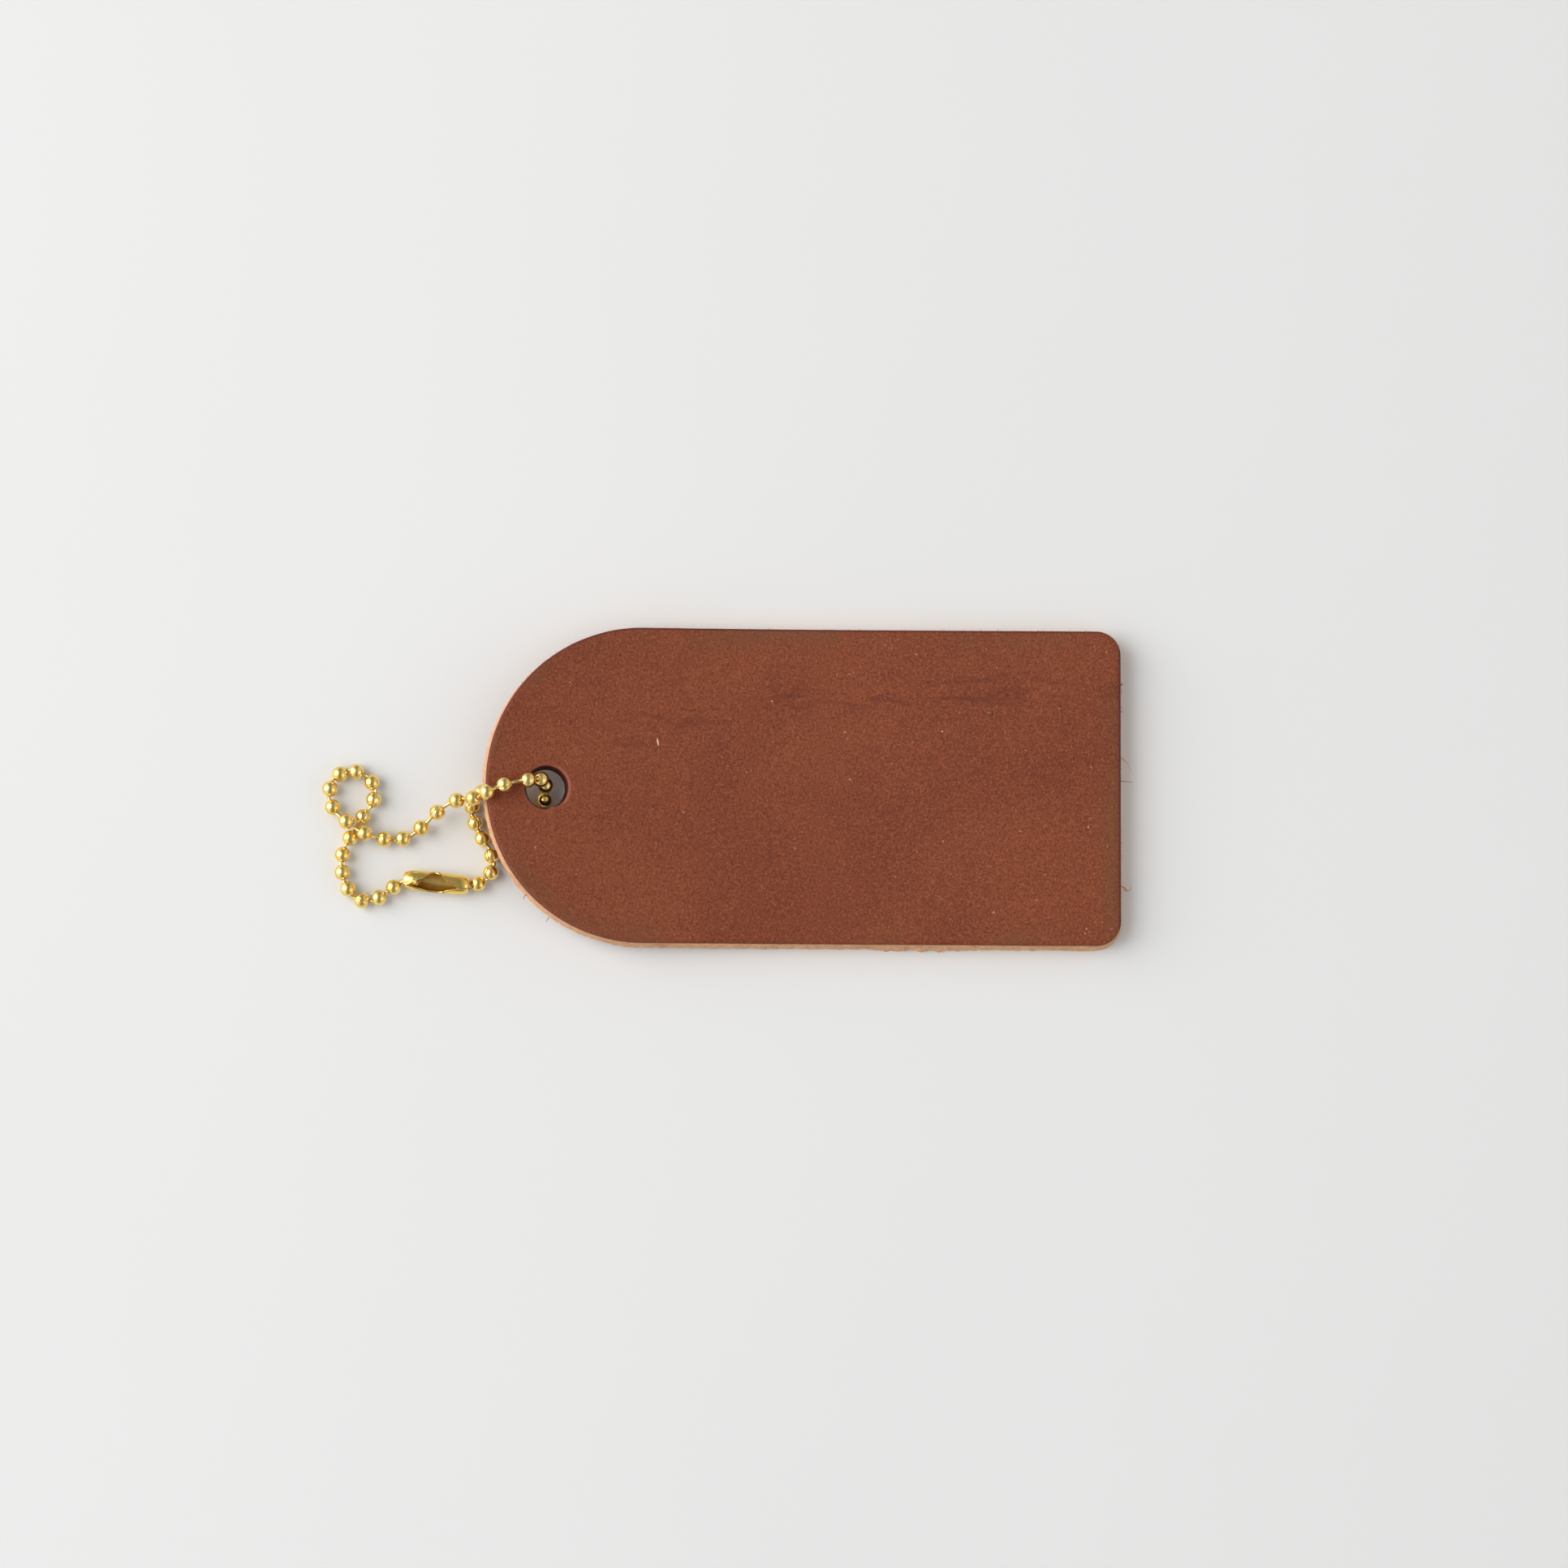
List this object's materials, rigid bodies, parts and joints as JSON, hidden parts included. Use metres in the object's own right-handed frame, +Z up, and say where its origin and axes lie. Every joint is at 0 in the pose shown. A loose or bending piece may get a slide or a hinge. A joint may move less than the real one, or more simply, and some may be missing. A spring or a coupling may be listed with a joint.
{
  "type": "keychain",
  "caption": "Thick die-cut leather tag with one rounded end, on a closed loop of fine brass ball chain that runs through its hole and a snap coupling.",
  "frame": {"origin": "centre of the flat stretch of the tag's underside, on the surface that the keychain lies on", "axes": "+X along the tag towards its square end, +Y across it, +Z up from the surface; the chain is on the -X side"},
  "size_m": [0.1211, 0.0484, 0.0097],
  "materials": {
    "leather": "matt grain face with pale raw cut wall",
    "brass": "polished"
  },
  "bodies": {
    "tag": {"leather_tag": "leather"},
    "chain_23_to_39": {"bead_23": "brass", "bead_24": "brass", "bead_25": "brass", "bead_26": "brass", "bead_27": "brass", "bead_28": "brass", "bead_29": "brass", "bead_30": "brass", "bead_31": "brass", "bead_32": "brass", "bead_33": "brass", "bead_34": "brass", "bead_35": "brass", "bead_36": "brass", "bead_37": "brass", "bead_38": "brass", "bead_39": "brass", "pins_23_to_38": "brass"},
    "chain_19_to_22": {"bead_19": "brass", "bead_20": "brass", "bead_21": "brass", "bead_22": "brass", "pins_19_to_22": "brass"},
    "chain_18": {"bead_18": "brass", "pin_18": "brass"},
    "chain_16_to_17": {"bead_16": "brass", "bead_17": "brass", "pins_16_to_17": "brass"},
    "chain_15": {"bead_15": "brass", "pin_15": "brass"},
    "chain_14": {"bead_14": "brass", "pin_14": "brass"},
    "chain_12_to_13": {"bead_12": "brass", "bead_13": "brass", "pins_12_to_13": "brass"},
    "chain_11": {"bead_11": "brass", "pin_11": "brass"},
    "chain_10": {"bead_10": "brass", "pin_10": "brass"},
    "chain_08_to_09": {"bead_08": "brass", "bead_09": "brass", "pins_08_to_09": "brass"},
    "chain_07": {"bead_07": "brass", "pin_07": "brass"},
    "chain_06": {"bead_06": "brass", "pin_06": "brass"},
    "chain_04_to_05": {"bead_04": "brass", "bead_05": "brass", "pins_04_to_05": "brass"},
    "chain_03": {"bead_03": "brass", "pin_03": "brass"},
    "chain_02": {"bead_02": "brass", "pin_02": "brass"},
    "chain_01": {"bead_01": "brass", "pin_01": "brass"},
    "chain_40": {"bead_40": "brass", "pin_39": "brass"},
    "coupling": {"coupling": "brass"}
  },
  "joints": [
    {"name": "chain_swivel", "type": "hinge", "parent": "tag", "child": "chain_23_to_39", "pos_m": [-0.069, -0.0005, 0], "axis": [0, 0, 1], "range_deg": [-16, 13]},
    {"name": "fold_at_pin_22", "type": "hinge", "parent": "chain_23_to_39", "child": "chain_19_to_22", "pos_m": [-0.0803, -0.00234, 0.00591], "axis": [0.0147, -0.9405, -0.3395], "range_deg": [-14, 16]},
    {"name": "fold_at_pin_18", "type": "hinge", "parent": "chain_19_to_22", "child": "chain_18", "pos_m": [-0.09162, -0.00828, 0.00109], "axis": [0.0885, -0.9957, 0.0269], "range_deg": [-16, 22]},
    {"name": "fold_at_pin_17", "type": "hinge", "parent": "chain_18", "child": "chain_16_to_17", "pos_m": [-0.09443, -0.00796, 0.00152], "axis": [-0.9794, -0.1904, -0.0668], "range_deg": [-24, 24]},
    {"name": "fold_at_pin_15", "type": "hinge", "parent": "chain_16_to_17", "child": "chain_15", "pos_m": [-0.09993, -0.00488, 0.00198], "axis": [0.9189, 0.3613, -0.1585], "range_deg": [-20, 24]},
    {"name": "fold_at_pin_14", "type": "hinge", "parent": "chain_15", "child": "chain_14", "pos_m": [-0.10181, -0.00239, 0.00111], "axis": [0.9614, 0.275, 0.0127], "range_deg": [-15, 6]},
    {"name": "fold_at_pin_13", "type": "hinge", "parent": "chain_14", "child": "chain_12_to_13", "pos_m": [-0.10155, 0.00054, 0.00123], "axis": [0.9613, 0.2755, -0.0049], "range_deg": [-24, 24]},
    {"name": "fold_at_pin_11", "type": "hinge", "parent": "chain_12_to_13", "child": "chain_11", "pos_m": [-0.09677, 0.00191, 0.0012], "axis": [0.9613, 0.2755, -0.0049], "range_deg": [-24, 24]},
    {"name": "fold_at_pin_10", "type": "hinge", "parent": "chain_11", "child": "chain_10", "pos_m": [-0.09484, -0.0004, 0.0012], "axis": [0.9614, 0.275, 0.0127], "range_deg": [-6, 15]},
    {"name": "fold_at_pin_09", "type": "hinge", "parent": "chain_10", "child": "chain_08_to_09", "pos_m": [-0.09542, -0.00311, 0.0012], "axis": [0.9189, 0.3613, -0.1585], "range_deg": [-24, 20]},
    {"name": "fold_at_pin_07", "type": "hinge", "parent": "chain_08_to_09", "child": "chain_07", "pos_m": [-0.09912, -0.00887, 0.0012], "axis": [-0.9794, -0.1904, -0.0668], "range_deg": [-24, 24]},
    {"name": "fold_at_pin_06", "type": "hinge", "parent": "chain_07", "child": "chain_06", "pos_m": [-0.09994, -0.01153, 0.0012], "axis": [0.8072, -0.5903, -0.003], "range_deg": [-24, 22]},
    {"name": "fold_at_pin_05", "type": "hinge", "parent": "chain_06", "child": "chain_04_to_05", "pos_m": [-0.09951, -0.01424, 0.0012], "axis": [0.7439, -0.6683, 0.0016], "range_deg": [-14, 14]},
    {"name": "fold_at_pin_03", "type": "hinge", "parent": "chain_04_to_05", "child": "chain_03", "pos_m": [-0.09568, -0.01768, 0.00121], "axis": [0.7439, -0.6683, 0.0016], "range_deg": [-14, 14]},
    {"name": "fold_at_pin_02", "type": "hinge", "parent": "chain_03", "child": "chain_02", "pos_m": [-0.09318, -0.01647, 0.00117], "axis": [0.8072, -0.5903, -0.003], "range_deg": [-22, 24]},
    {"name": "fold_at_pin_01", "type": "hinge", "parent": "chain_02", "child": "chain_01", "pos_m": [-0.09104, -0.01479, 0.00127], "axis": [0.0885, -0.9957, 0.0269], "range_deg": [-22, 16]},
    {"name": "fold_at_pin_39", "type": "hinge", "parent": "chain_23_to_39", "child": "chain_40", "pos_m": [-0.0801, -0.01513, 0.00129], "axis": [0.0147, -0.9405, -0.3395], "range_deg": [-14, 16]},
    {"name": "coupling_spin", "type": "hinge", "parent": "chain_40", "child": "coupling", "pos_m": [-0.0816, -0.015, 0.00155], "axis": [0.9958, -0.0917, 0], "continuous": true}
  ],
  "couplings": [
    {"joint": "fold_at_pin_11", "follows": "fold_at_pin_13", "ratio": -1},
    {"joint": "fold_at_pin_10", "follows": "fold_at_pin_14", "ratio": -1},
    {"joint": "fold_at_pin_09", "follows": "fold_at_pin_15", "ratio": -1},
    {"joint": "fold_at_pin_07", "follows": "fold_at_pin_17", "ratio": -1},
    {"joint": "fold_at_pin_03", "follows": "fold_at_pin_05", "ratio": -1},
    {"joint": "fold_at_pin_02", "follows": "fold_at_pin_06", "ratio": -1},
    {"joint": "fold_at_pin_01", "follows": "fold_at_pin_18", "ratio": -1},
    {"joint": "fold_at_pin_39", "follows": "fold_at_pin_22", "ratio": 1}
  ]
}
